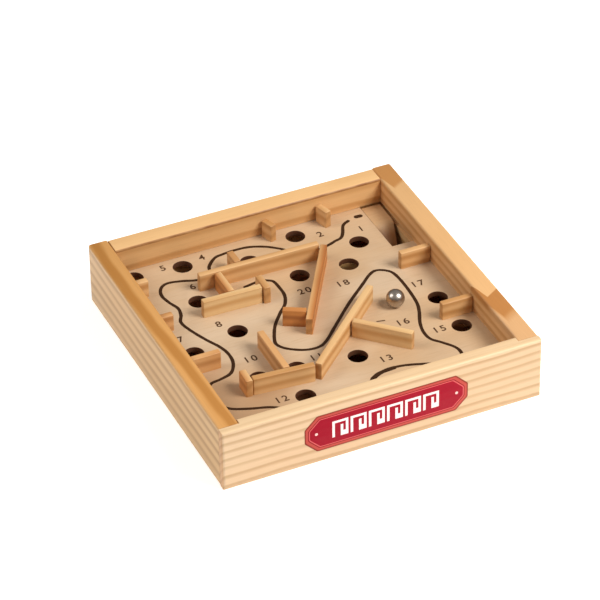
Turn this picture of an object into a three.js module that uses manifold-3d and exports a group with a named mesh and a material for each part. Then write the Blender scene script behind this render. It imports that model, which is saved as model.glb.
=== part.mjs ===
// Hand-held tilt maze: an open pine tray with a play board, glued dividers,
// a return ramp and a loose steel ball.
// Units are millimetres and +Z is up. The origin is the centre of the underside.
// +X runs to the right along the front rail and +Y runs to the back.

import * as THREE from 'three';
import { mergeVertices } from 'three/addons/utils/BufferGeometryUtils.js';
import Module from 'manifold-3d';

// Tray
const SIZE = 120;
const HEIGHT = 24.3;
const RAIL = 7.6;
const FRONT_RAIL = 5.8;
const EDGE_RADIUS = 0.9;
const LIP = 3.1;
const GLUE_GAP = 0.05;

// Play board and bottom panel, both held in grooves of the rails
const FLOOR = 14;
const BOARD_THICKNESS = 2.2;
const PANEL_THICKNESS = 2.4;
const PANEL_RECESS = 0.9;
const GROOVE_DEPTH = 1.6;
const PANEL_CLEARANCE = 0.15;
const HOLE_RADIUS = 3.6;

// Return opening in the back right corner, and the bent ramp that fills its back part
const NOTCH_LEFT = 44;
const NOTCH_FRONT = 25.2;
const RAMP_BACK = 51.5;
const RAMP_RIGHT = 51.5;
const RAMP_FOOT_RIGHT = 47.7;
const RAMP_THICKNESS = 2;
const RAMP_ANGLE = THREE.MathUtils.degToRad(35);
const BEND_BACK = 42;
const TAPER_BACK = 39.5;
const BEND_RADIUS = 5;

// Dividers
const DIVIDER_THICKNESS = 2.5;
const DIVIDER_HEIGHT = 6.8;
const DIVIDER_RADIUS = 0.35;
const RAIL_GAP = 0.1;
const SLANTED_RAIL_GAP = 0.45;

// Ball, a 17/64 inch bearing ball
const BALL_RADIUS = 3.375;
const BALL_PLACE = [29.2, -7.9];
const BALL_GAP = 0.02;

// Label on the front rail
const LABEL_CENTRE = [0.75, 12.5];
const LABEL_WIDTH = 61.5;
const LABEL_HEIGHT = 15;
const LABEL_CORNER = 4.6;
const LABEL_THICKNESS = 0.15;

// Facets
const EDGE_SEGMENTS = 3;
const BEND_SEGMENTS = 5;
const HOLE_SEGMENTS = 12;
const BALL_SEGMENTS = 32;

// Derived places
const OUTER = SIZE / 2;
const INNER = OUTER - RAIL;
const FRONT = OUTER - FRONT_RAIL;
const SHEET_EDGE = INNER + GROOVE_DEPTH - PANEL_CLEARANCE;
const SHEET_FRONT = FRONT + GROOVE_DEPTH - PANEL_CLEARANCE;
const PANEL_TOP = PANEL_RECESS + PANEL_THICKNESS;
const STUB = INNER - RAIL_GAP;
const SLANTED_STUB = INNER - SLANTED_RAIL_GAP;

// Centres of the drop holes, from the back row to the front row
const HOLES = [
  [-47.8, 47.7],
  [-29.3, 46.5],
  [15, 46.1],
  [-6.2, 39],
  [34.4, 32.9],
  [-32.5, 24.7],
  [6.4, 23.4],
  [25.2, 22.1],
  [-27, 2.7],
  [-45.8, -2.5],
  [45, -9.8],
  [-31, -25],
  [-17, -25.5],
  [45.2, -28.2],
  [4.8, -28.5],
  [-20.8, -41],
];

// Centre line of each divider on the board: name, start x, start y, end x, end y
const DIVIDERS = [
  ['back_stub_left', 5.2, SLANTED_STUB, 6.8, 46.8],
  ['back_stub_right', 26.8, SLANTED_STUB, 28.4, 46.2],
  ['long', -29.6, 31, 16.9, 30.5],
  ['long_stub', -13.8, 39.3, -13.8, 32.4],
  ['link', -22.9, 29.3, -22.9, 17.3],
  ['middle_left', -34.6, 16, -12.15, 15.4],
  ['middle_left_cap', -10.6, 13.2, -10.6, 21.5],
  ['long_diagonal', -5.2, -10, 18.3, 28.5],
  ['diagonal_stub', -11, -0.4, -3.7, -4.5],
  ['upright', -23.3, -8.7, -23.6, -31.5],
  ['front_left', -36.6, -31.9, -14.2, -33.9],
  ['front_left_cap', -38.2, -33.3, -38, -26.4],
  ['front_diagonal', -13, -34.5, 22.6, -1],
  ['front_branch', 8.4, -16.9, 24.2, -32.6],
  ['right_stub_back', 40.6, 12.2, STUB, 12.2],
  ['right_stub_front', 40.3, -21.5, STUB, -21.5],
  ['left_stub_front', -STUB, -13, -40.5, -13],
  ['left_stub_middle', -STUB, 13.9, -46.8, 13.9],
  ['left_stub_back', -STUB, 36.3, -47, 36.3],
];

const wasm = await Module();
wasm.setup();

const pine = new THREE.MeshStandardMaterial({ color: 0xe3c08a, roughness: 0.6, metalness: 0 });
const boardWood = new THREE.MeshStandardMaterial({ color: 0xe2cbb0, roughness: 0.7, metalness: 0 });
const dividerWood = new THREE.MeshStandardMaterial({ color: 0xd3a261, roughness: 0.6, metalness: 0 });
const labelInk = new THREE.MeshStandardMaterial({ color: 0xb0182b, roughness: 0.45, metalness: 0 });
const steel = new THREE.MeshStandardMaterial({ color: 0xc9cbcf, roughness: 0.15, metalness: 1 });

const game = new THREE.Group();

function addMesh(name, geometry, material) {
  const mesh = new THREE.Mesh(geometry, material);
  mesh.name = name;
  game.add(mesh);
  return mesh;
}

// A closed geometry as a solid that can be cut.
function solidOf(geometry) {
  const bare = geometry.clone();
  bare.deleteAttribute('normal');
  bare.deleteAttribute('uv');
  const merged = mergeVertices(bare, 1e-5);
  const vertProperties = new Float32Array(merged.attributes.position.array);
  const triVerts = new Uint32Array(merged.index.array);
  return new wasm.Manifold(new wasm.Mesh({ numProp: 3, vertProperties, triVerts }));
}

function geometryOf(solid) {
  const { vertProperties, triVerts } = solid.getMesh();
  const geometry = new THREE.BufferGeometry();
  geometry.setAttribute('position', new THREE.BufferAttribute(vertProperties, 3));
  geometry.setIndex(new THREE.BufferAttribute(triVerts, 1));
  geometry.computeVertexNormals();
  return geometry;
}

// A box between two corners.
function block([x0, y0, z0], [x1, y1, z1]) {
  const geometry = new THREE.BoxGeometry(x1 - x0, y1 - y0, z1 - z0);
  geometry.translate((x0 + x1) / 2, (y0 + y1) / 2, (z0 + z1) / 2);
  return geometry;
}

// A rectangle between two corners, with all four corners rounded.
function roundedRectangle(u0, v0, u1, v1, radius) {
  const shape = new THREE.Shape();
  shape.absarc(u1 - radius, v0 + radius, radius, -Math.PI / 2, 0);
  shape.absarc(u1 - radius, v1 - radius, radius, 0, Math.PI / 2);
  shape.absarc(u0 + radius, v1 - radius, radius, Math.PI / 2, Math.PI);
  shape.absarc(u0 + radius, v0 + radius, radius, Math.PI, Math.PI * 1.5);
  return shape;
}

function extrude(shape, depth, curveSegments) {
  return new THREE.ExtrudeGeometry(shape, { depth, curveSegments, bevelEnabled: false });
}

// An outline drawn in Y and Z, extruded along X from x0 to x1.
function extrudeAlongX(shape, x0, x1, curveSegments) {
  const geometry = extrude(shape, x1 - x0, curveSegments);
  const yAxis = new THREE.Vector3(0, 1, 0);
  const zAxis = new THREE.Vector3(0, 0, 1);
  const xAxis = new THREE.Vector3(1, 0, 0);
  geometry.applyMatrix4(new THREE.Matrix4().makeBasis(yAxis, zAxis, xAxis));
  geometry.translate(x0, 0, 0);
  return geometry;
}

// The space that a board or panel between two heights needs in the rails around it.
function groove(bottom, top) {
  const reach = INNER + GROOVE_DEPTH;
  const front = FRONT + GROOVE_DEPTH;
  return block([-reach, -front, bottom - GLUE_GAP], [reach, reach, top + GLUE_GAP]);
}

// A rail is drawn along X with its outer face towards -Y, and then turned about the tray's centre.
// The grooves stop inside the rails, and the tray's upright corners are rounded.
function makeRail(x0, x1, turn, thickness = RAIL, cuts = []) {
  const section = roundedRectangle(-OUTER, 0, -OUTER + thickness, HEIGHT, EDGE_RADIUS);
  const geometry = extrudeAlongX(section, x0, x1, EDGE_SEGMENTS);
  geometry.rotateZ(turn);
  const boardGroove = groove(FLOOR - BOARD_THICKNESS, FLOOR);
  const panelGroove = groove(PANEL_RECESS, PANEL_TOP);
  const outline = roundedRectangle(-OUTER, -OUTER, OUTER, OUTER, EDGE_RADIUS);
  let solid = solidOf(geometry).intersect(solidOf(extrude(outline, HEIGHT, EDGE_SEGMENTS)));
  for (const cut of [boardGroove, panelGroove, ...cuts]) {
    solid = solid.subtract(solidOf(cut));
  }
  return geometryOf(solid);
}

// The front rail covers the side rails' front ends with a thin lip at each end.
function addRails() {
  const lipBack = -OUTER + LIP;
  const tongueEnd = INNER - GLUE_GAP;
  const rabbets = [
    block([tongueEnd, lipBack, -1], [OUTER + 1, -INNER + 1, HEIGHT + 1]),
    block([-OUTER - 1, lipBack, -1], [-tongueEnd, -INNER + 1, HEIGHT + 1]),
  ];
  const sideFront = lipBack + GLUE_GAP;
  addMesh('front_rail', makeRail(-OUTER, OUTER, 0, FRONT_RAIL, rabbets), pine);
  addMesh('back_rail', makeRail(-tongueEnd, tongueEnd, Math.PI), pine);
  addMesh('left_rail', makeRail(-OUTER, -sideFront, -Math.PI / 2), pine);
  addMesh('right_rail', makeRail(sideFront, OUTER, Math.PI / 2), pine);
}

// The board fills the grooves, except at the return opening in its back right corner.
function addPlayBoard() {
  const outline = new THREE.Shape();
  outline.moveTo(-SHEET_EDGE, -SHEET_FRONT);
  outline.lineTo(SHEET_EDGE, -SHEET_FRONT);
  outline.lineTo(SHEET_EDGE, NOTCH_FRONT);
  outline.lineTo(NOTCH_LEFT, NOTCH_FRONT);
  outline.lineTo(NOTCH_LEFT, SHEET_EDGE);
  outline.lineTo(-SHEET_EDGE, SHEET_EDGE);
  outline.closePath();
  for (const [x, y] of HOLES) {
    const hole = new THREE.Path();
    hole.absarc(x, y, HOLE_RADIUS, 0, Math.PI * 2);
    outline.holes.push(hole);
  }
  const board = addMesh('play_board', extrude(outline, BOARD_THICKNESS, HOLE_SEGMENTS), boardWood);
  board.position.z = FLOOR - BOARD_THICKNESS;
}

function addBottomPanel() {
  const low = [-SHEET_EDGE, -SHEET_FRONT, PANEL_RECESS];
  const high = [SHEET_EDGE, SHEET_EDGE, PANEL_TOP];
  addMesh('bottom_panel', block(low, high), boardWood);
}

// One bent strip: a landing level with the board, a bend, and a slope that stands on the panel.
// Its left edge is glued to the board, and its right edge tapers away from the rail to the foot.
function addReturnRamp() {
  const foot = PANEL_TOP + GLUE_GAP;
  const bendEnd = Math.PI / 2 + RAMP_ANGLE;
  const innerRadius = BEND_RADIUS - RAMP_THICKNESS;
  const bendCentre = new THREE.Vector2(BEND_BACK, FLOOR - BEND_RADIUS);
  const footY = (radius) => {
    const endY = bendCentre.x + radius * Math.cos(bendEnd);
    const endZ = bendCentre.y + radius * Math.sin(bendEnd);
    return endY - (endZ - foot) / Math.tan(RAMP_ANGLE);
  };
  const section = new THREE.Shape();
  section.moveTo(RAMP_BACK, FLOOR);
  section.lineTo(BEND_BACK, FLOOR);
  section.absarc(bendCentre.x, bendCentre.y, BEND_RADIUS, Math.PI / 2, bendEnd);
  section.lineTo(footY(BEND_RADIUS), foot);
  section.lineTo(footY(innerRadius), foot);
  section.absarc(bendCentre.x, bendCentre.y, innerRadius, bendEnd, Math.PI / 2, true);
  section.lineTo(RAMP_BACK, FLOOR - RAMP_THICKNESS);
  section.closePath();
  const left = NOTCH_LEFT + GLUE_GAP;
  const outline = new THREE.Shape();
  outline.moveTo(left, RAMP_BACK);
  outline.lineTo(left, footY(BEND_RADIUS));
  outline.lineTo(RAMP_FOOT_RIGHT, footY(BEND_RADIUS));
  outline.lineTo(RAMP_RIGHT, TAPER_BACK);
  outline.lineTo(RAMP_RIGHT, RAMP_BACK);
  outline.closePath();
  const strip = solidOf(extrudeAlongX(section, left, RAMP_RIGHT, BEND_SEGMENTS));
  const plan = solidOf(extrude(outline, HEIGHT, 1));
  addMesh('return_ramp', geometryOf(strip.intersect(plan)), boardWood);
}

// Each divider is a strip with eased top edges, standing on the board along its centre line.
function addDividers() {
  const half = DIVIDER_THICKNESS / 2;
  const arcAcross = half - DIVIDER_RADIUS;
  const arcUp = DIVIDER_HEIGHT - DIVIDER_RADIUS;
  const section = new THREE.Shape();
  section.moveTo(-half, 0);
  section.lineTo(half, 0);
  section.absarc(arcAcross, arcUp, DIVIDER_RADIUS, 0, Math.PI / 2);
  section.absarc(-arcAcross, arcUp, DIVIDER_RADIUS, Math.PI / 2, Math.PI);
  section.closePath();
  for (const [name, startX, startY, endX, endY] of DIVIDERS) {
    const length = Math.hypot(endX - startX, endY - startY);
    const strip = extrudeAlongX(section, 0, length, EDGE_SEGMENTS);
    const divider = addMesh(`divider_${name}`, strip, dividerWood);
    divider.position.set(startX, startY, FLOOR);
    divider.rotation.z = Math.atan2(endY - startY, endX - startX);
  }
}

// The label is a long octagon that stands on the front rail's outer face.
function addLabel() {
  const halfWidth = LABEL_WIDTH / 2;
  const halfHeight = LABEL_HEIGHT / 2;
  const outline = new THREE.Shape();
  outline.moveTo(-halfWidth + LABEL_CORNER, -halfHeight);
  outline.lineTo(halfWidth - LABEL_CORNER, -halfHeight);
  outline.lineTo(halfWidth, -halfHeight + LABEL_CORNER);
  outline.lineTo(halfWidth, halfHeight - LABEL_CORNER);
  outline.lineTo(halfWidth - LABEL_CORNER, halfHeight);
  outline.lineTo(-halfWidth + LABEL_CORNER, halfHeight);
  outline.lineTo(-halfWidth, halfHeight - LABEL_CORNER);
  outline.lineTo(-halfWidth, -halfHeight + LABEL_CORNER);
  outline.closePath();
  const label = addMesh('front_label', extrude(outline, LABEL_THICKNESS, 1), labelInk);
  label.rotation.x = Math.PI / 2;
  label.position.set(LABEL_CENTRE[0], -OUTER, LABEL_CENTRE[1]);
}

function addBall() {
  const sphere = new THREE.SphereGeometry(BALL_RADIUS, BALL_SEGMENTS, BALL_SEGMENTS / 2);
  const ball = addMesh('steel_ball', sphere, steel);
  ball.rotation.x = Math.PI / 2;
  ball.position.set(...BALL_PLACE, FLOOR + BALL_RADIUS + BALL_GAP);
}

addRails();
addPlayBoard();
addBottomPanel();
addReturnRamp();
addDividers();
addLabel();
addBall();

export default game;
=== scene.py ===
"""Tilt maze game: the looks of a pine tray with a play board, glued dividers, a label and a steel ball."""
import math
import random

import bmesh
import bpy
from mathutils import Matrix, Vector, noise


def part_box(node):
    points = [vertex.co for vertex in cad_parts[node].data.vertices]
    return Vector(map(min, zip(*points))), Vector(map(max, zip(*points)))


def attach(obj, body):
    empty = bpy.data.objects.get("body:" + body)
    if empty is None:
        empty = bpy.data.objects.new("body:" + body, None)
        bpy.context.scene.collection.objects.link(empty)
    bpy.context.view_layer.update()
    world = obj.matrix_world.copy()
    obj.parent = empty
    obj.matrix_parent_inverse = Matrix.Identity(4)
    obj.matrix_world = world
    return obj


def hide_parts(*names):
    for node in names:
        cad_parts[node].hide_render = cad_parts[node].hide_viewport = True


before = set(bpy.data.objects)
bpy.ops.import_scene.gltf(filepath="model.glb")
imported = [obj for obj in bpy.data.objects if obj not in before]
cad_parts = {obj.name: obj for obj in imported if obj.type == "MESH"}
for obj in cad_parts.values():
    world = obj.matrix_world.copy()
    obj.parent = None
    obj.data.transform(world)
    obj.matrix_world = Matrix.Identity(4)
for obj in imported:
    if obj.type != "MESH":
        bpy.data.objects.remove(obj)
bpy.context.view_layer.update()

MM = 0.001
RANDOM_SEED = 7

# Camera, turned and slid from a view of the tray's centre
CAMERA_AZIMUTH = math.radians(-23.99)
CAMERA_ELEVATION = math.radians(36.4)
CAMERA_ROLL = math.radians(-1.02)
CAMERA_DISTANCE = 1.22086
CAMERA_SLIDE = (-0.00403, 0.01665)
CAMERA_LENS = 206.67
CAMERA_SENSOR = 36

# Places from the frame
tray_low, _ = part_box("front_rail")
rail_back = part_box("left_rail")[1].y / MM
board_low, board_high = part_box("play_board")
label_low, label_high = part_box("front_label")
ball_low, ball_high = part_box("steel_ball")
FLOOR = board_high.z
BOARD_THICKNESS = board_high.z - board_low.z
FRONT_FACE = tray_low.y

DIVIDERS = sorted(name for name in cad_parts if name.startswith("divider_"))

# Sizes of the details
DIVIDER_EDGE = 0.35 * MM
DIVIDER_STEP = 2.5 * MM
ARRIS = 0.15 * MM
BOARD_ARRIS = 0.12 * MM
HOLE_RADIUS = 3.6 * MM
MERGE_DISTANCE = 0.001 * MM
FLAT_ANGLE = math.radians(1)
SHARP_ANGLE = math.radians(40)

# Shares by which the strips' faces and tops, the ink's edge and the ball waver
STRIP_WAVER = 0.035
STRIP_TOP_WAVER = 0.012
INK_WAVER = 0.12
BALL_WAVER = 0.002

# How often they waver, in noise cells a metre: a strip's faces along and up, its top, the ink and the ball
STRIP_WAVES = (120, 60)
STRIP_TOP_WAVES = 90
INK_WAVES = 400
BALL_WAVES = 300

# Ink: how high it stands, how thick a line is as a share of that, and how far a number stands above a line
INK_WIDTH = 1.25 * MM
INK_HEIGHT = 0.03 * MM
INK_DEPTH_SHARE = 0.9
INK_CAP_STEPS = 6
NUMBER_HEIGHT = 4.4 * MM
NUMBER_WEIGHT = 0.08 * MM
NUMBER_SPACING = 1.3
NUMBER_LIFT = 0.002 * MM

# Drop holes and printed marks on the board, in millimetres in the frame
HOLES = [
    (-47.8, 47.7), (-29.3, 46.5), (15, 46.1), (-6.2, 39), (34.4, 32.9), (-32.5, 24.7), (6.4, 23.4),
    (25.2, 22.1), (-27, 2.7), (-45.8, -2.5), (45, -9.8), (-31, -25), (-17, -25.5), (45.2, -28.2),
    (4.8, -28.5), (-20.8, -41),
]
NOTCH_CORNER = (44, 25.2)
PATH_START = [(40.2, 47.6), (41.8, 47.5)]
PATH = [
    (36.4, 46.5), (33.6, 44.8), (31.4, 40.5), (29.5, 38), (26.8, 37.1), (23.6, 35.9), (19, 34.9),
    (13, 35.9), (9.2, 38.9), (6.4, 41.8), (2.3, 45), (-3.2, 47.3), (-8.6, 47.7), (-13.2, 47.3),
    (-16.8, 46.4), (-20.5, 42.7), (-21.8, 39.5), (-24, 36.9), (-28.2, 36.8), (-33.2, 38.6),
    (-38.2, 39.5), (-41.4, 37.7), (-42.9, 33.6), (-42.1, 28.6), (-40.6, 24.1), (-41.2, 20),
    (-42.9, 15.9), (-41.8, 10.5), (-39.1, 3.2), (-36.4, -2.7), (-35.2, -7.7), (-35.7, -13.2),
    (-38.6, -18.2), (-43.2, -20), (-47.3, -20.9), (-49.8, -24.5), (-50, -31), (-47.3, -36.1),
    (-41.4, -39.1), (-33.6, -41.9), (-27, -47), (-18, -49), (-6, -47.5), (2.7, -43.3), (6.8, -40.7),
    (13.2, -39.8), (18.6, -40.7), (24.4, -42.8), (31, -45), (36, -45), (37.9, -42.4), (37.5, -38.6),
    (34.5, -34.1), (31.8, -30.5), (31.4, -25.9), (32.7, -20.5), (35.5, -14.1), (37, -8.6), (37.7, 1.4),
    (37.3, 9.5), (35.5, 12.7), (32.3, 14.3), (29.1, 13), (24.1, 8.6), (15, 0.5), (5.9, -8.6),
    (-1.4, -15.9), (-5.5, -18), (-10.5, -17.3), (-15.5, -14.1), (-17.7, -10.9), (-17.5, -7.7),
    (-14.1, -0.5), (-9.5, 5.5), (-5.5, 10), (-3.4, 15), (-3.2, 20.5), (-3.6, 24.1), (-5, 25.5),
    (-7.2, 26.6),
]
PATH_FINISH = [(-9.5, 26.4), (-14.1, 25.5)]
PATH_DASH = [(19.4, -13.4), (22.0, -14.0)]
PATH_THICK = [(3.9, -42.4), (6.8, -40.8), (10, -40.1), (13.2, -39.9)]
NUMBERS = [
    ("1", 38.5, 40), ("2", 23.6, 43.2), ("3", 1.5, 36.5), ("4", -20.9, 48.6), ("5", -36.1, 48.6),
    ("6", -30.9, 33.6), ("7", -47, 6.8), ("8", -31.4, 9.1), ("10", -29.5, -14.1), ("12", -29.1, -39.4),
    ("13", 13, -34.1), ("11", -8.4, -22.9), ("15", 37.1, -27), ("16", 27.3, -17.7), ("17", 42.1, 0.6),
    ("18", 18.2, 12.3), ("20", 4.1, 14.1),
]

# Finger joint in the right rail: the tip of its V across the rail, and how steeply its sides run along it
JOINT_TIP = 54.4
JOINT_OUTER_SLOPE = 0.6
JOINT_INNER_SLOPE = 4.5

# Heights in millimetres between which the rails' patches and stripes come in
PATCH_RISE = (20.0, 24.0)
STRIPE_RISE = (23.6, 24.2)

# Millimetres by which the pine's rings wander, slowly and quickly along the grain
SLOW_WANDER = 3.2
QUICK_WANDER = 0.8

# Painted light and shade on the sheets, in millimetres: painted shade on the board and a painted pool of
# light on the panel, each a place with its reach, and two heights of the ramp's foot between which painted
# shade darkens the ramp.
# A spot has its full colour as far out as the core's share of its reach.
SPOT_CORE = 0.3
BOARD_PAINTED_SHADE = (-47, -40, 36)
PANEL_PAINTED_LIGHT = (30.5, 36, 8)
RAMP_SHADE_LEVELS = (14, 10.5)

# Label: its corners in millimetres, its studs, and the key pattern, with gaps in widths of its line
LABEL_CORNER = 4.6
LABEL_CORNER_SHRINK = 0.4
LABEL_ROUNDING = 0.5 * MM
LABEL_ARRIS = 0.004 * MM
STUD_PLACE = 26.4 * MM
STUD_RADIUS = 0.55 * MM
STUD_HEIGHT = 0.03 * MM
STUD_ARRIS = 0.005 * MM
KEY_HALF_WIDTH = 20.5 * MM
KEY_HALF_HEIGHT = 3.4 * MM
KEY_LINE = 0.95 * MM
KEY_REPEATS = 6
KEY_GAP = 0.9
HOOK_ABOVE_FOOT = 2.1
HOOK_BELOW_TOP = 2.2

# Studio, in metres and watts
FLOOR_SIZE = 3
FLOOR_CELLS = 8
FLOOR_GAP = 0.05 * MM
LIGHT_DISTANCE = 0.9
LIGHT_SIZE = 0.44
KEY_POWER = 7.5
FILL_POWER = 2.6
KEY_DIRECTION = (0.48, -0.47, 0.73)
FILL_DIRECTION = (-0.68, 0.19, 0.72)
KEY_COLOUR = (1, 0.98, 0.95)
FILL_COLOUR = (1, 1, 1)
SKY_LEVELS = (0.05, 0.6)
SKY_LOW = (0.06, 0.055, 0.05, 1)
SKY_HIGH = (0.36, 0.345, 0.325, 1)

rng = random.Random(RANDOM_SEED)


# ---------------------------------------------------------------- shader helpers

def rgb(red, green, blue):
    """A colour given in display values from 0 to 255, as linear RGBA."""
    linear = []
    for value in (red, green, blue):
        share = value / 255
        linear.append(share / 12.92 if share <= 0.04045 else ((share + 0.055) / 1.055) ** 2.4)
    return (*linear, 1)


def add(tree, kind, inputs=None, **settings):
    """A node with its settings, and its inputs by name or place, each a value or a node's output."""
    made = tree.nodes.new(kind)
    for key, value in settings.items():
        setattr(made, key, value)
    for key, value in (inputs or {}).items():
        if isinstance(value, bpy.types.NodeSocket):
            tree.links.new(value, made.inputs[key])
        else:
            made.inputs[key].default_value = value
    return made


def maths(tree, operation, *values, clamp=False):
    made = add(tree, "ShaderNodeMath", dict(enumerate(values)), operation=operation, use_clamp=clamp)
    return made.outputs[0]


def vector(tree, operation, *values):
    made = add(tree, "ShaderNodeVectorMath", dict(enumerate(values)), operation=operation)
    return made.outputs["Value"] if operation in ("LENGTH", "DOT_PRODUCT") else made.outputs["Vector"]


def mix(tree, factor, first, second, blend="MIX"):
    inputs = {"Factor": factor, 6: first, 7: second}
    return add(tree, "ShaderNodeMix", inputs, data_type="RGBA", blend_type=blend).outputs[2]


def smooth(tree, value, low, high):
    """0 below low and 1 above high, with a smooth step between."""
    inputs = {"Value": value, "From Min": low, "From Max": high}
    return add(tree, "ShaderNodeMapRange", inputs, interpolation_type="SMOOTHSTEP").outputs[0]


def fade(tree, value, low, high):
    """1 below low and 0 above high, with a smooth step between."""
    return maths(tree, "SUBTRACT", 1.0, smooth(tree, value, low, high))


def between(tree, value, low, low_soft, high, high_soft):
    """1 from low to high and 0 outside, with a smooth step as far as its softness to both sides of each."""
    inside = smooth(tree, value, low - low_soft, low + low_soft)
    return maths(tree, "MULTIPLY", inside, fade(tree, value, high - high_soft, high + high_soft))


def triple(tree, first, second, third):
    """Three values as one vector or colour."""
    return add(tree, "ShaderNodeCombineXYZ", {0: first, 1: second, 2: third}).outputs[0]


def parts(tree, source):
    """The three values of a vector."""
    return add(tree, "ShaderNodeSeparateXYZ", {0: source}).outputs


def cloud(tree, place, stretch, detail=2.0, roughness=0.5):
    """Noise from 0 to 1, with its frequency along each axis given by stretch."""
    inputs = {"Vector": vector(tree, "MULTIPLY", place, stretch), "Scale": 1.0, "Detail": detail}
    inputs["Roughness"] = roughness
    return add(tree, "ShaderNodeTexNoise", inputs).outputs[0]


def start_material(name):
    material = bpy.data.materials.new(name)
    material.use_nodes = True
    tree = material.node_tree
    return material, tree, tree.nodes["Principled BSDF"]


def finish_surface(tree, shader, colour, roughness, height=None, strength=0.3, distance=0.1 * MM):
    tree.links.new(colour, shader.inputs["Base Color"])
    tree.links.new(roughness, shader.inputs["Roughness"])
    if height is not None:
        inputs = {"Strength": strength, "Distance": distance, "Height": height}
        bump = add(tree, "ShaderNodeBump", inputs)
        tree.links.new(bump.outputs[0], shader.inputs["Normal"])


def millimetres(tree, along="X"):
    """The place in millimetres as (along the grain, across it, up), and the normal's parts likewise."""
    source = add(tree, "ShaderNodeTexCoord").outputs
    place = parts(tree, vector(tree, "MULTIPLY", source["Object"], (1000, 1000, 1000)))
    normal = parts(tree, source["Normal"])
    order = (0, 1, 2) if along == "X" else (1, 0, 2)
    return triple(tree, *(place[k] for k in order)), [normal[k] for k in order]


# ---------------------------------------------------------------- materials

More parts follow.
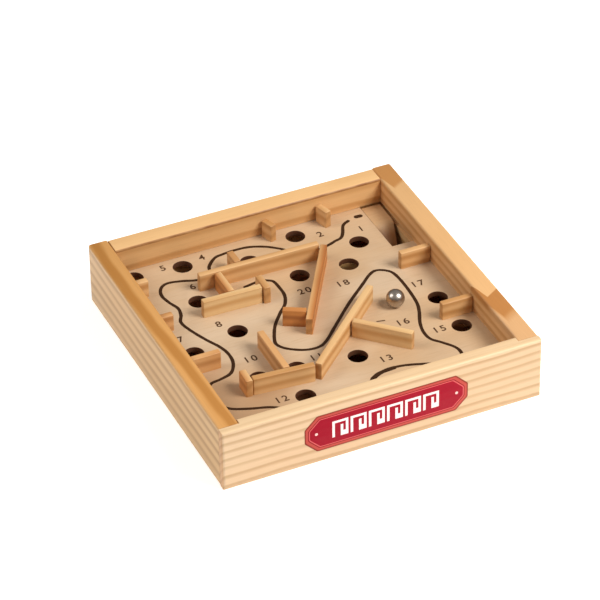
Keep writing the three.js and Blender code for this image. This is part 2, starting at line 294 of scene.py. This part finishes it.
def pine(name, early, late, pith, ring, along="X", wave=1.0, band=(0.35, 0.78, 0.82, 1.0),
         stripes=(), patches=(), arris_shade=None, warm=None):
    """Straight-grained pine. Rings run round the pith, a line along the grain at (across, up), and are ring
    apart. Wave is how much the rings wander.
    Band is the share of a ring where the late wood starts, is full, starts to fade and has faded.
    Stripes are broad coloured rings: their two radii, how soft their edges are, how far they bow outwards
    with the square of the distance from the back end, their colour and their strength. They show on top.
    On the front rail the stripe is painted light, the top paler than the front face.
    Patches are darker stretches of finger-jointed wood: one end and how soft it is, the other end and how
    soft it is, and the colour.
    An arris shade is painted shade: a thin dark line along the grain at (across, up), on an edge's
    rounding, and its colour.
    Warm is the pair of colours that a tone of 1 gives."""
    material, tree, shader = start_material(name)
    bare, normal = millimetres(tree, along)
    along_grain, across_grain, level = parts(tree, bare)
    seed = add(tree, "ShaderNodeAttribute", attribute_name="seed").outputs["Fac"]
    tone = add(tree, "ShaderNodeAttribute", attribute_name="tone").outputs["Fac"]
    shift = triple(tree, *(maths(tree, "MULTIPLY", seed, reach) for reach in (170.0, 3.0, 7.0)))
    place = vector(tree, "ADD", bare, shift)
    flat = vector(tree, "MULTIPLY", place, (0, 1, 1))

    radius = vector(tree, "LENGTH", vector(tree, "SUBTRACT", flat, (0, *pith)))
    for stretch, wander in (((0.018, 0.05, 0.05), SLOW_WANDER), ((0.06, 0.35, 0.35), QUICK_WANDER)):
        sway = maths(tree, "SUBTRACT", cloud(tree, place, stretch), 0.5)
        radius = maths(tree, "ADD", radius, maths(tree, "MULTIPLY", sway, wander * wave))
    rings = maths(tree, "DIVIDE", radius, ring)
    phase = maths(tree, "FRACT", rings)
    rise = smooth(tree, phase, band[0], band[1])
    fall = fade(tree, phase, band[2], band[3])
    ring_number = {"W": maths(tree, "FLOOR", rings)}
    which = add(tree, "ShaderNodeTexWhiteNoise", ring_number, noise_dimensions="1D").outputs[0]
    weight = maths(tree, "MULTIPLY_ADD", which, 0.5, 0.5)
    dark = maths(tree, "MULTIPLY", maths(tree, "MULTIPLY", rise, fall), weight)
    fibres = cloud(tree, place, (0.08, 4.0, 4.0), detail=3.0)
    dark = maths(tree, "MULTIPLY", dark, maths(tree, "MULTIPLY_ADD", fibres, 0.7, 0.65), clamp=True)
    if warm:
        warm_early, warm_late = warm
        early = mix(tree, tone, early, warm_early)
        late = mix(tree, tone, late, warm_late)
    colour = mix(tree, dark, early, late)

    for low, low_soft, high, high_soft, patch_colour in patches:
        outward = maths(tree, "SUBTRACT", across_grain, JOINT_TIP)
        notch = maths(tree, "MAXIMUM", maths(tree, "MULTIPLY", outward, JOINT_OUTER_SLOPE),
                      maths(tree, "MULTIPLY", outward, -JOINT_INNER_SLOPE))
        spot = maths(tree, "SUBTRACT", along_grain, notch)
        inside = between(tree, spot, low, low_soft, high, high_soft)
        inside = maths(tree, "MULTIPLY", inside, smooth(tree, level, *PATCH_RISE))
        colour = mix(tree, maths(tree, "MULTIPLY", inside, 0.95), colour, patch_colour)

    drift = cloud(tree, place, (0.015, 0.06, 0.06), detail=3.0)
    drift = maths(tree, "MULTIPLY_ADD", drift, 0.4, -0.1, clamp=True)
    colour = mix(tree, drift, colour, rgb(206, 150, 88))
    streak = smooth(tree, cloud(tree, place, (0.25, 6.0, 6.0), detail=1.0), 0.62, 0.8)
    colour = mix(tree, maths(tree, "MULTIPLY", streak, 0.2), colour, rgb(168, 112, 58))

    for low, high, soft, bend, stripe_colour, strength in stripes:
        from_back = maths(tree, "SUBTRACT", rail_back, along_grain)
        bow = maths(tree, "MULTIPLY", maths(tree, "MULTIPLY", from_back, from_back), bend)
        inside = between(tree, maths(tree, "SUBTRACT", radius, bow), low, soft, high, soft)
        inside = maths(tree, "MULTIPLY", inside, smooth(tree, level, *STRIPE_RISE))
        broken = maths(tree, "MULTIPLY_ADD", fibres, 0.5, 0.7, clamp=True)
        inside = maths(tree, "MULTIPLY", inside, broken)
        colour = mix(tree, maths(tree, "MULTIPLY", inside, strength), colour, stripe_colour)

    # Painted shade along a rounded edge
    if arris_shade:
        across, up, arris_shade_colour = arris_shade
        away = vector(tree, "LENGTH", vector(tree, "SUBTRACT", flat, (0, across, up)))
        near = fade(tree, away, 0.3, 0.75)
        broken = cloud(tree, place, (0.15, 0.5, 0.5), detail=3.0)
        broken = maths(tree, "MULTIPLY_ADD", broken, 1.4, 0.1, clamp=True)
        colour = mix(tree, maths(tree, "MULTIPLY", near, broken), colour, arris_shade_colour)

    shade = maths(tree, "MULTIPLY_ADD", fibres, 0.16, 0.92)
    colour = mix(tree, 1.0, colour, triple(tree, shade, shade, shade), blend="MULTIPLY")
    end = smooth(tree, maths(tree, "ABSOLUTE", normal[0]), 0.6, 0.95)
    pores = cloud(tree, place, (2.0, 2.6, 2.6), detail=4.0)
    end_colour = mix(tree, pores, rgb(176, 122, 66), rgb(206, 154, 96))
    end_colour = mix(tree, maths(tree, "MULTIPLY", dark, 0.4), end_colour, rgb(140, 88, 46))
    colour = mix(tree, maths(tree, "MULTIPLY", end, 0.8), colour, end_colour)

    roughness = maths(tree, "MULTIPLY_ADD", fibres, 0.18, 0.42)
    fibre_height = maths(tree, "MULTIPLY", fibres, 0.6)
    height = maths(tree, "ADD", fibre_height, maths(tree, "MULTIPLY", dark, 0.5))
    finish_surface(tree, shader, colour, roughness, height, strength=0.35, distance=0.08 * MM)
    shader.inputs["Coat Weight"].default_value = 0.1
    shader.inputs["Coat Roughness"].default_value = 0.35
    return material


def board_sheet(name, pale, warm, edge, grain_colour, spot=None, recess_shade=None):
    """A thin smooth sheet with a faint grain along X and brown cut edges. On the play board their dark
    brown is partly the cut edge's own colour and partly painted shade inside the drop holes.
    A spot paints light with a lighter colour and shade with a darker one: a place at (x, y), how far it
    reaches, and its colour.
    Recess shade is painted shade, darker downwards: the height where the sheet starts to darken, the height
    where it is darkest, and its colour there."""
    material, tree, shader = start_material(name)
    place, normal = millimetres(tree)
    broad = cloud(tree, place, (0.02, 0.035, 0.035), detail=3.0)
    grain = cloud(tree, place, (0.12, 1.6, 1.6), detail=4.0, roughness=0.6)
    speck = cloud(tree, place, (1.6, 3.0, 3.0), detail=3.0, roughness=0.7)
    colour = mix(tree, smooth(tree, broad, 0.3, 0.7), pale, warm)
    for pattern, low in ((grain, 0.45), (speck, 0.6)):
        share = maths(tree, "MULTIPLY", smooth(tree, pattern, low, 0.8), 0.3)
        colour = mix(tree, share, colour, grain_colour)
    # Painted spot: light with a lighter colour, shade with a darker one
    if spot:
        spot_x, spot_y, reach, painted_spot_colour = spot
        flat = vector(tree, "MULTIPLY", place, (1, 1, 0))
        away = vector(tree, "LENGTH", vector(tree, "SUBTRACT", flat, (spot_x, spot_y, 0)))
        colour = mix(tree, fade(tree, away, SPOT_CORE * reach, reach), colour, painted_spot_colour)
    # Painted shade: the sheet darker downwards, into the lower compartment
    if recess_shade:
        high, low, recess_shade_colour = recess_shade
        level = parts(tree, place)[2]
        colour = mix(tree, fade(tree, level, low, high), colour, recess_shade_colour)
    # Cut edges in their own darker colour; on the play board this is also painted shade inside the drop
    # holes
    side = smooth(tree, maths(tree, "ABSOLUTE", normal[2]), 0.7, 0.3)
    colour = mix(tree, maths(tree, "MULTIPLY", side, 0.95), colour, edge)
    roughness = maths(tree, "MULTIPLY_ADD", grain, 0.15, 0.45)
    height = maths(tree, "ADD", grain, speck)
    finish_surface(tree, shader, colour, roughness, height, strength=0.2, distance=0.04 * MM)
    return material


def printed(name, colour, worn, roughness=0.45, wear=0.25):
    """A printed ink that is a little uneven, with worn specks."""
    material, tree, shader = start_material(name)
    place, _ = millimetres(tree)
    patchy = cloud(tree, place, (0.6, 0.6, 0.6), detail=4.0, roughness=0.7)
    speck = smooth(tree, cloud(tree, place, (5.0, 5.0, 5.0), detail=2.0), 0.6, 0.75)
    faded = maths(tree, "MAXIMUM", smooth(tree, patchy, 0.5, 0.8), speck)
    colour = mix(tree, maths(tree, "MULTIPLY", faded, wear), colour, worn)
    gloss = maths(tree, "MULTIPLY_ADD", patchy, 0.15, roughness - 0.07)
    finish_surface(tree, shader, colour, gloss, speck, strength=0.1, distance=0.02 * MM)
    shader.inputs["Specular IOR Level"].default_value = 0.12
    return material


def polished_steel(name):
    material, tree, shader = start_material(name)
    place, _ = millimetres(tree)
    smear = cloud(tree, place, (0.8, 0.8, 0.8), detail=3.0)
    scratch = cloud(tree, place, (2.0, 22.0, 9.0), detail=2.0)
    colour = mix(tree, smear, rgb(164, 154, 144), rgb(188, 178, 168))
    roughness = maths(tree, "MULTIPLY_ADD", smear, 0.1, 0.26)
    finish_surface(tree, shader, colour, roughness, scratch, strength=0.06, distance=0.02 * MM)
    shader.inputs["Metallic"].default_value = 1.0
    return material


def studio_floor(name):
    material, tree, shader = start_material(name)
    place, _ = millimetres(tree)
    colour = mix(tree, cloud(tree, place, (0.01, 0.01, 0.01)), rgb(250, 250, 250), rgb(253, 253, 253))
    roughness = maths(tree, "MULTIPLY_ADD", cloud(tree, place, (0.05, 0.05, 0.05)), 0.1, 0.7)
    finish_surface(tree, shader, colour, roughness)
    shader.inputs["Emission Color"].default_value = (1, 1, 1, 1)
    shader.inputs["Emission Strength"].default_value = 0.5
    return material


# ---------------------------------------------------------------- mesh helpers

def place_piece(name, mesh, material, replaces=(), body="tray", matrix=None):
    piece = bpy.data.objects.new(name, mesh)
    bpy.context.scene.collection.objects.link(piece)
    if matrix is not None:
        piece.matrix_world = matrix
    mesh.materials.clear()
    mesh.materials.append(material)
    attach(piece, body)
    if replaces:
        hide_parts(*replaces)
    return piece


def mesh_from(bm, name, smooth_angle=35):
    bmesh.ops.recalc_face_normals(bm, faces=bm.faces)
    mesh = bpy.data.meshes.new(name)
    bm.to_mesh(mesh)
    bm.free()
    mesh.shade_smooth()
    mesh.set_sharp_from_angle(angle=math.radians(smooth_angle))
    return mesh


def set_numbers(mesh, name, values):
    """A number for each vertex, for the materials to read."""
    attribute = mesh.attributes.new(name, "FLOAT", "POINT")
    attribute.data.foreach_set("value", values)


def eased_copy(node, radius):
    """A CAD node's shape with its sharp edges eased, as sanded wood has them."""
    bm = bmesh.new()
    bm.from_mesh(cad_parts[node].data)
    bmesh.ops.remove_doubles(bm, verts=bm.verts, dist=MERGE_DISTANCE)
    bmesh.ops.dissolve_limit(bm, angle_limit=FLAT_ANGLE, verts=bm.verts, edges=bm.edges)
    sharp = [edge for edge in bm.edges if edge.calc_face_angle(0) > SHARP_ANGLE]
    bmesh.ops.bevel(bm, geom=sharp, offset=radius, segments=2, profile=0.5, affect="EDGES",
                    clamp_overlap=True)
    return mesh_from(bm, node)


def mesh_from_curve(curve):
    """The mesh that a curve or text makes. The curve itself is removed."""
    holder = bpy.data.objects.new(curve.name, curve)
    bpy.context.scene.collection.objects.link(holder)
    bpy.context.view_layer.update()
    mesh = bpy.data.meshes.new_from_object(holder.evaluated_get(bpy.context.evaluated_depsgraph_get()))
    bpy.data.objects.remove(holder)
    bpy.data.curves.remove(curve)
    return mesh


def outline_curve(name, loops, thickness, edge):
    """A flat plate with rounded edges from closed loops of points. A loop inside another is a hole."""
    curve = bpy.data.curves.new(name, "CURVE")
    curve.dimensions = "2D"
    curve.fill_mode = "BOTH"
    curve.extrude = thickness / 2 - edge
    curve.bevel_depth = edge
    curve.bevel_resolution = 2
    curve.offset = -edge
    for loop in loops:
        spline = curve.splines.new("POLY")
        spline.points.add(len(loop) - 1)
        for point, (x, y) in zip(spline.points, loop):
            point.co = (x, y, 0, 1)
        spline.use_cyclic_u = True
    mesh = mesh_from_curve(curve)
    bm = bmesh.new()
    bm.from_mesh(mesh)
    bpy.data.meshes.remove(mesh)
    bmesh.ops.remove_doubles(bm, verts=bm.verts, dist=MERGE_DISTANCE / 2)
    return mesh_from(bm, name)


def circle(x, y, radius, steps=64):
    turn = [2 * math.pi * i / steps for i in range(steps)]
    return [(x + radius * math.cos(a), y + radius * math.sin(a)) for a in turn]


def smooth_line(points, steps=8):
    """A smooth line (a Catmull-Rom spline) through the points."""
    line = []
    count = len(points)
    for i in range(count - 1):
        places = (min(max(k, 0), count - 1) for k in (i - 1, i, i + 1, i + 2))
        before, here, there, after = (Vector(points[k]) for k in places)
        for step in range(steps):
            t = step / steps
            a = here * 2
            b = (there - before) * t
            c = (before * 2 - here * 5 + there * 4 - after) * t * t
            d = (here * 3 - before - there * 3 + after) * t * t * t
            line.append((a + b + c + d) / 2)
    line.append(Vector(points[-1]))
    return line


# ---------------------------------------------------------------- wood

def add_rails():
    orange = rgb(182, 122, 52)
    golden = rgb(216, 155, 83)
    # Painted light: the front rail's top paler than its front face, as lit from above
    top_painted_light = rgb(243, 209, 163)
    joint = rgb(180, 116, 52)
    front_piece = rgb(214, 166, 116)
    corner_piece = rgb(198, 136, 72)
    woods = {
        "front_rail": pine(
            "pine_front", rgb(220, 189, 151), rgb(186, 149, 106), (-120, -40), 2.3, wave=0.6,
            stripes=[(70, 110, 0.3, 0, top_painted_light, 0.6)]),
        "back_rail": pine(
            "pine_back", rgb(238, 192, 134), rgb(196, 138, 74), (56.5, -62.1), 6.7, wave=0.5,
            # The dark line along the inner top edge is painted shade on its rounding
            band=(0.3, 0.68, 0.74, 0.92), arris_shade=(52.4, 23.8, rgb(150, 94, 44))),
        "left_rail": pine(
            "pine_left", rgb(205, 168, 118), rgb(153, 109, 62), (-110, -45), 3.4, along="Y", wave=0.8,
            band=(0.2, 0.66, 0.7, 0.98),
            stripes=[(70, 99, 0.3, 0, golden, 0.85), (85.7, 87.95, 0.6, 1.35e-4, orange, 1.0)]),
        "right_rail": pine(
            "pine_right", rgb(228, 180, 124), rgb(188, 128, 68), (57, -62.2), 3.6, along="Y", wave=0.7,
            band=(0.2, 0.62, 0.68, 0.95),
            patches=[(45, 1.2, 90, 0.5, corner_piece), (-62, 1, -44, 1, front_piece),
                     (-44, 3, -29.6, 0.3, joint)]),
    }
    for node, wood in woods.items():
        place_piece(f"{node}_wood", eased_copy(node, ARRIS), wood, [node])


def add_sheets():
    board = board_sheet(
        # Its dark brown edge colour is partly the cut edge's own and partly painted shade inside the drop
        # holes
        "board_sheet", rgb(206, 180, 150), rgb(200, 166, 128), rgb(84, 42, 20), rgb(176, 140, 102),
        # The spot is painted shade darkening the board's front-left corner
        spot=(*BOARD_PAINTED_SHADE, rgb(178, 143, 108)))
    panel = board_sheet(
        "panel_sheet", rgb(176, 106, 52), rgb(160, 92, 42), rgb(110, 62, 32), rgb(136, 78, 38),
        # The spot is a painted pool of light, where light falling through a drop hole would reach the panel
        spot=(*PANEL_PAINTED_LIGHT, rgb(246, 196, 130)))
    ramp = board_sheet(
        "ramp_strip", rgb(208, 176, 138), rgb(198, 154, 106), rgb(120, 78, 44), rgb(172, 128, 84),
        # Painted shade, darker towards the ramp's foot
        recess_shade=(*RAMP_SHADE_LEVELS, rgb(146, 98, 56)))

    edge, front = board_high.x, board_low.y
    notch_x, notch_y = (value * MM for value in NOTCH_CORNER)
    outline = [(-edge, front), (edge, front), (edge, notch_y),
               (notch_x, notch_y), (notch_x, edge), (-edge, edge)]
    loops = [outline] + [circle(x * MM, y * MM, HOLE_RADIUS) for x, y in HOLES]
    mesh = outline_curve("board", loops, BOARD_THICKNESS, BOARD_ARRIS)
    mesh.transform(Matrix.Translation((0, 0, (board_low.z + board_high.z) / 2)))
    place_piece("board_sheet", mesh, board, ["play_board"])
    place_piece("panel_sheet", eased_copy("bottom_panel", ARRIS), panel, ["bottom_panel"])
    place_piece("ramp_strip", eased_copy("return_ramp", ARRIS), ramp, ["return_ramp"])


def divider_place(node):
    """Where a divider stands: its length, thickness and height, and the matrix of its bottom centre."""
    places = [vertex.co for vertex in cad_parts[node].data.vertices]
    bottom = min(place.z for place in places)
    feet = {(round(place.x, 6), round(place.y, 6)) for place in places if place.z < bottom + 0.01 * MM}
    corners = [Vector(foot) for foot in feet]
    centre = sum(corners, Vector((0, 0))) / len(corners)
    first = corners[0]
    across, along, _ = sorted((corner - first for corner in corners[1:]), key=lambda side: side.length)
    angle = math.atan2(along.y, along.x)
    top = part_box(node)[1].z
    matrix = Matrix.Translation((centre.x, centre.y, bottom)) @ Matrix.Rotation(angle, 4, "Z")
    return along.length, across.length, top - bottom, matrix


def divider_mesh(name, length, thickness, height, seed):
    """A strip with eased edges and the slight unevenness of sawn faces."""
    bm = bmesh.new()
    bmesh.ops.create_cube(bm, size=1)
    bmesh.ops.scale(bm, vec=(length, thickness, height), verts=bm.verts)
    bmesh.ops.translate(bm, vec=(0, 0, height / 2), verts=bm.verts)
    top = [edge for edge in bm.edges if min(v.co.z for v in edge.verts) > height / 2]
    ends = [edge for edge in bm.edges if abs(edge.verts[0].co.z - edge.verts[1].co.z) > height / 2]
    bmesh.ops.bevel(bm, geom=top + ends, offset=DIVIDER_EDGE, segments=3, profile=0.5, affect="EDGES")
    cuts = max(2, round(length / DIVIDER_STEP))
    for cut in range(1, cuts):
        x = -length / 2 + DIVIDER_EDGE + (length - 2 * DIVIDER_EDGE) * cut / cuts
        geometry = bm.verts[:] + bm.edges[:] + bm.faces[:]
        bmesh.ops.bisect_plane(bm, geom=geometry, plane_co=(x, 0, 0), plane_no=(1, 0, 0))
    for vertex in bm.verts:
        x, _, z = vertex.co
        face_waver = noise.noise(Vector((x * STRIP_WAVES[0], seed * 11.3, z * STRIP_WAVES[1])))
        top_waver = noise.noise(Vector((x * STRIP_TOP_WAVES, seed * 5.1, 3.7)))
        vertex.co.y *= 1 - STRIP_WAVER * abs(face_waver)
        vertex.co.z *= 1 - STRIP_TOP_WAVER * abs(top_waver)
    return mesh_from(bm, name)


def add_dividers():
    """The glued strips. Tones are how warm each strip's wood is at its two ends. A painted side shade is
    how much
    that changes from one face to the other: painted shade that makes one face darker than the other."""
    wood = pine(
        "divider_pine", rgb(230, 193, 139), rgb(200, 149, 88), (9, -14), 3.7, wave=0.9,
        band=(0.1, 0.58, 0.62, 1.0), warm=(rgb(204, 132, 66), rgb(158, 88, 36)))
    tones = {
        "divider_long_diagonal": (0.7, 0.7), "divider_diagonal_stub": (1.0, 1.0),
        "divider_middle_left": (0.0, 0.0), "divider_middle_left_cap": (0.35, 0.35),
        "divider_right_stub_front": (0.3, 0.3), "divider_right_stub_back": (0.35, 0.35),
        "divider_front_branch": (0.2, 0.0), "divider_left_stub_front": (0.35, 0.7),
        "divider_left_stub_middle": (0.55, 0.55), "divider_left_stub_back": (0.3, 0.3),
        "divider_front_diagonal": (0.3, 0.1), "divider_long": (0.35, 0.35), "divider_upright": (0.55, 0.55),
        "divider_front_left": (0.25, 0.25), "divider_front_left_cap": (0.5, 0.5),
        "divider_back_stub_left": (0.3, 0.3), "divider_back_stub_right": (0.3, 0.3),
        "divider_link": (0.5, 0.5), "divider_long_stub": (0.5, 0.5),
    }
    # Painted shade: how much darker and warmer one face of a strip is than the other
    painted_side_shade = {"divider_long_diagonal": 0.9, "divider_link": -0.9, "divider_front_left_cap": -0.7}
    for node in DIVIDERS:
        length, thickness, height, matrix = divider_place(node)
        seed = rng.random()
        mesh = divider_mesh(node, length, thickness, height, seed)
        start, end = tones[node]
        across = painted_side_shade.get(node, 0)
        shares = [(v.co.x / length + 0.5, v.co.y / thickness) for v in mesh.vertices]
        warmth = [start + (end - start) * share + across * side for share, side in shares]
        set_numbers(mesh, "seed", [seed] * len(shares))
        set_numbers(mesh, "tone", warmth)
        place_piece(f"{node}_strip", mesh, wood, [node], matrix=matrix)


# ---------------------------------------------------------------- print on the board

def ribbon(name, points, width, height, ink):
    """A printed line on the board: a flat ribbon with round ends and a slightly uneven edge."""
    line = smooth_line([(x * MM, y * MM) for x, y in points])
    left, right = [], []
    for i, here in enumerate(line):
        ahead = line[min(i + 1, len(line) - 1)] - line[max(i - 1, 0)]
        side = Vector((-ahead.y, ahead.x)).normalized()
        waver = 1 + INK_WAVER * noise.noise(Vector((here.x * INK_WAVES, here.y * INK_WAVES, 0)))
        left.append(here + side * width / 2 * waver)
        right.append(here - side * width / 2 * waver)
    bm = bmesh.new()
    level = FLOOR + height
    sides = []
    for row in (left, right):
        sides.append([bm.verts.new((p.x, p.y, level)) for p in row])
    for i in range(len(line) - 1):
        bm.faces.new((sides[1][i], sides[1][i + 1], sides[0][i + 1], sides[0][i]))
    for end, step in ((0, 1), (len(line) - 1, -1)):
        here = line[end]
        away = (here - line[end + step]).normalized()
        start = left[end] - here
        arc = []
        for k in range(1, INK_CAP_STEPS):
            turn = math.pi * k / INK_CAP_STEPS
            offset = start * math.cos(turn) + away * start.length * math.sin(turn)
            arc.append(bm.verts.new((here.x + offset.x, here.y + offset.y, level)))
        bm.faces.new([sides[0][end], *arc, sides[1][end]])
    bmesh.ops.recalc_face_normals(bm, faces=bm.faces)
    lower = bmesh.ops.extrude_face_region(bm, geom=bm.faces[:])["geom"]
    lower_vertices = [part for part in lower if isinstance(part, bmesh.types.BMVert)]
    bmesh.ops.translate(bm, vec=(0, 0, -height * INK_DEPTH_SHARE), verts=lower_vertices)
    return place_piece(name, mesh_from(bm, name), ink)


def number_mesh(text, size, thickness):
    curve = bpy.data.curves.new(f"digits_{text}", "FONT")
    curve.body = text
    curve.size = size
    curve.align_x = "CENTER"
    curve.align_y = "CENTER"
    curve.space_character = NUMBER_SPACING
    curve.offset = NUMBER_WEIGHT
    curve.extrude = thickness / 2
    return mesh_from_curve(curve)


def add_print():
    ink = printed("path_ink", rgb(56, 34, 17), rgb(90, 62, 42), wear=0.3)
    pale_ink = printed("number_ink", rgb(80, 55, 37), rgb(138, 108, 80), wear=0.4)
    ribbon("printed_path", PATH, INK_WIDTH, INK_HEIGHT, ink)
    ribbon("printed_start", PATH_START, 1.5 * INK_WIDTH, INK_HEIGHT, ink)
    ribbon("printed_finish", PATH_FINISH, INK_WIDTH, INK_HEIGHT, ink)
    ribbon("printed_dash", PATH_DASH, 0.5 * INK_WIDTH, INK_HEIGHT, pale_ink)
    # The thick stretch runs along the path, and is a little lower so that their tops stay apart
    ribbon("printed_thick", PATH_THICK, 1.5 * INK_WIDTH, 0.9 * INK_HEIGHT, ink)
    for order, (text, x, y) in enumerate(NUMBERS):
        mesh = number_mesh(text, NUMBER_HEIGHT, INK_HEIGHT)
        mesh.transform(Matrix.Translation((x * MM, y * MM, FLOOR + INK_HEIGHT / 2 + NUMBER_LIFT)))
        place_piece(f"printed_number_{order + 1}", mesh, pale_ink)


# ---------------------------------------------------------------- label

def cut_octagon(half_width, half_height, corner, rounding, steps=5):
    """A long octagon with slightly rounded corners."""
    w, h, c = half_width, half_height, corner
    corners = [Vector(p) for p in [(-w + c, -h), (w - c, -h), (w, -h + c), (w, h - c),
                                   (w - c, h), (-w + c, h), (-w, h - c), (-w, -h + c)]]
    loop = []
    for i, here in enumerate(corners):
        before, after = corners[i - 1], corners[(i + 1) % len(corners)]
        first = here + (before - here).normalized() * rounding
        last = here + (after - here).normalized() * rounding
        for k in range(steps + 1):
            t = k / steps
            loop.append(tuple(first * (1 - t) ** 2 + here * 2 * t * (1 - t) + last * t * t))
    return loop


def stand_on_front(mesh, depth, thickness):
    """Stands a flat piece drawn in X and Y on the front face, with its back at depth in front of it."""
    centre_x = (label_low.x + label_high.x) / 2
    centre_z = (label_low.z + label_high.z) / 2
    turn = Matrix.Rotation(math.pi / 2, 4, "X")
    mesh.transform(Matrix.Translation((centre_x, FRONT_FACE - depth - thickness / 2, centre_z)) @ turn)


def key_band(half_width, half_height, line):
    """A running key pattern in one line of even width, as a closed loop for each repeat."""
    pitch = 2 * half_width / KEY_REPEATS
    low, high = -half_height, half_height
    hook_low = low + HOOK_ABOVE_FOOT * line
    hook_high = high - HOOK_BELOW_TOP * line
    loops = []
    for k in range(KEY_REPEATS):
        left = -half_width + k * pitch
        right = left + pitch - line * KEY_GAP
        loops.append([
            (left, low), (left + line, low), (left + line, high - line), (right - line, high - line),
            (right - line, hook_low), (right - 2 * line, hook_low), (right - 2 * line, hook_high),
            (right - 3 * line, hook_high), (right - 3 * line, low), (right, low),
            (right, high), (left, high),
        ])
    return loops


def add_label():
    """A printed label in flat layers, each standing a little prouder than the one before."""
    half_width = (label_high.x - label_low.x) / 2
    half_height = (label_high.z - label_low.z) / 2

    def plate(inset):
        corner = (LABEL_CORNER - LABEL_CORNER_SHRINK * inset) * MM
        return [cut_octagon(half_width - inset * MM, half_height - inset * MM, corner, LABEL_ROUNDING)]

    # Each layer's name, its thickness in millimetres, its loops, its ink's name and the ink's two colours
    layers = [
        ("label_edge", 0.05, plate(0), "label_outline", rgb(140, 56, 44), rgb(112, 40, 34)),
        ("label_border", 0.015, plate(0.45), "label_salmon", rgb(190, 76, 66), rgb(166, 56, 52)),
        ("label_rule", 0.015, plate(1.3), "label_rule", rgb(140, 26, 32), rgb(110, 20, 28)),
        ("label_inline", 0.01, plate(1.6), "label_pink", rgb(214, 92, 92), rgb(190, 60, 66)),
        ("label_field", 0.015, plate(1.95), "label_crimson", rgb(158, 3, 34), rgb(138, 3, 28)),
        ("label_band", 0.025, key_band(KEY_HALF_WIDTH, KEY_HALF_HEIGHT, KEY_LINE),
         "label_white", rgb(250, 236, 234), rgb(240, 190, 190)),
    ]
    depth = 0
    for name, thickness, loops, ink, colour, worn in layers:
        mesh = outline_curve(name, loops, thickness * MM, LABEL_ARRIS)
        stand_on_front(mesh, depth * MM, thickness * MM)
        replaced = ["front_label"] if name == "label_edge" else []
        place_piece(name, mesh, printed(ink, colour, worn), replaced)
        if name != "label_band":
            depth += thickness

    studs = [circle(side * STUD_PLACE, 0, STUD_RADIUS, steps=24) for side in (-1, 1)]
    stud_mesh = outline_curve("label_studs", studs, STUD_HEIGHT, STUD_ARRIS)
    stand_on_front(stud_mesh, depth * MM, STUD_HEIGHT)
    stud_ink = printed("label_stud", rgb(246, 206, 200), rgb(226, 160, 154))
    place_piece("label_studs", stud_mesh, stud_ink)


# ---------------------------------------------------------------- ball

def add_ball():
    """A bearing ball, with the very slight lumps of a cheap polished one."""
    centre = (ball_low + ball_high) / 2
    radius = (ball_high.z - ball_low.z) / 2
    bm = bmesh.new()
    bmesh.ops.create_icosphere(bm, subdivisions=6, radius=radius)
    for vertex in bm.verts:
        lump = noise.noise(vertex.co * BALL_WAVES)
        vertex.co *= 1 - BALL_WAVER * abs(lump)
    bmesh.ops.translate(bm, vec=centre, verts=bm.verts)
    mesh = mesh_from(bm, "ball", smooth_angle=180)
    steel = polished_steel("polished_steel")
    place_piece("ball_steel", mesh, steel, ["steel_ball"], body="ball")


# ---------------------------------------------------------------- stage

def add_camera():
    back = Vector((math.sin(CAMERA_AZIMUTH) * math.cos(CAMERA_ELEVATION),
                   -math.cos(CAMERA_AZIMUTH) * math.cos(CAMERA_ELEVATION), math.sin(CAMERA_ELEVATION)))
    level = (-back).cross(Vector((0, 0, 1))).normalized()
    raised = level.cross(-back)
    right = level * math.cos(CAMERA_ROLL) + raised * math.sin(CAMERA_ROLL)
    up = raised * math.cos(CAMERA_ROLL) - level * math.sin(CAMERA_ROLL)
    place = back * CAMERA_DISTANCE + right * CAMERA_SLIDE[0] + up * CAMERA_SLIDE[1]
    camera = bpy.data.cameras.new("camera")
    camera.lens = CAMERA_LENS
    camera.sensor_width = CAMERA_SENSOR
    holder = bpy.data.objects.new("camera", camera)
    holder.matrix_world = Matrix.Translation(place) @ Matrix((right, up, back)).transposed().to_4x4()
    bpy.context.scene.collection.objects.link(holder)
    bpy.context.scene.camera = holder


def add_light(name, direction, power, colour):
    """A round soft light that faces the tray's centre."""
    light = bpy.data.lights.new(name, "AREA")
    light.shape = "DISK"
    light.size = LIGHT_SIZE
    light.energy = power
    light.color = colour
    holder = bpy.data.objects.new(name, light)
    toward = Vector(direction).normalized()
    turn = (-toward).to_track_quat("-Z", "Y").to_matrix().to_4x4()
    holder.matrix_world = Matrix.Translation(toward * LIGHT_DISTANCE) @ turn
    bpy.context.scene.collection.objects.link(holder)


def add_world():
    """A pale sky, dim near the horizon and brighter overhead."""
    world = bpy.data.worlds.new("studio")
    world.use_nodes = True
    tree = world.node_tree
    source = add(tree, "ShaderNodeTexCoord").outputs["Generated"]
    share = smooth(tree, parts(tree, source)[2], *SKY_LEVELS)
    colour = mix(tree, share, SKY_LOW, SKY_HIGH)
    tree.links.new(colour, tree.nodes["Background"].inputs["Color"])
    bpy.context.scene.world = world


def add_studio():
    bm = bmesh.new()
    bmesh.ops.create_grid(bm, x_segments=FLOOR_CELLS, y_segments=FLOOR_CELLS, size=FLOOR_SIZE)
    bmesh.ops.translate(bm, vec=(0, 0, tray_low.z - FLOOR_GAP), verts=bm.verts)
    mesh = mesh_from(bm, "studio_floor")
    mesh.materials.append(studio_floor("studio_floor"))
    floor = bpy.data.objects.new("studio_floor", mesh)
    bpy.context.scene.collection.objects.link(floor)
    add_world()
    add_light("key", KEY_DIRECTION, KEY_POWER, KEY_COLOUR)
    add_light("fill", FILL_DIRECTION, FILL_POWER, FILL_COLOUR)
    bpy.context.scene.view_settings.view_transform = "Standard"


add_camera()
add_rails()
add_sheets()
add_dividers()
add_print()
add_label()
add_ball()
add_studio()

bpy.context.view_layer.update()
